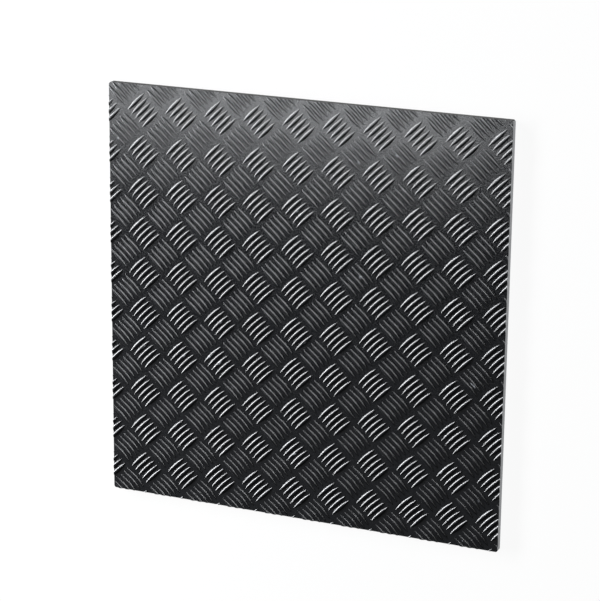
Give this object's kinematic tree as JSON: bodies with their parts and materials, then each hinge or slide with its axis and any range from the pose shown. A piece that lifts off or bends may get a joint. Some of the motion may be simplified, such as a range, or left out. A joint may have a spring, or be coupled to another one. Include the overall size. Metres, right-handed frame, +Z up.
{
  "type": "aluminium checker plate",
  "caption": "Flat black aluminium checker plate with a raised tread of lens-shaped bars in crossed groups on its upper face and two bare sheared sides.",
  "frame": {"origin": "middle of the plate's underside", "axes": "+Z up out of the treaded face, +X along the plate's width, +Y along its length"},
  "size_m": [0.49, 0.5, 0.0095],
  "materials": {
    "black_aluminium": "black satin coat over rolled aluminium, bare at the two sheared sides"
  },
  "bodies": {
    "root": {"tread_plate": "black_aluminium"}
  },
  "joints": []
}
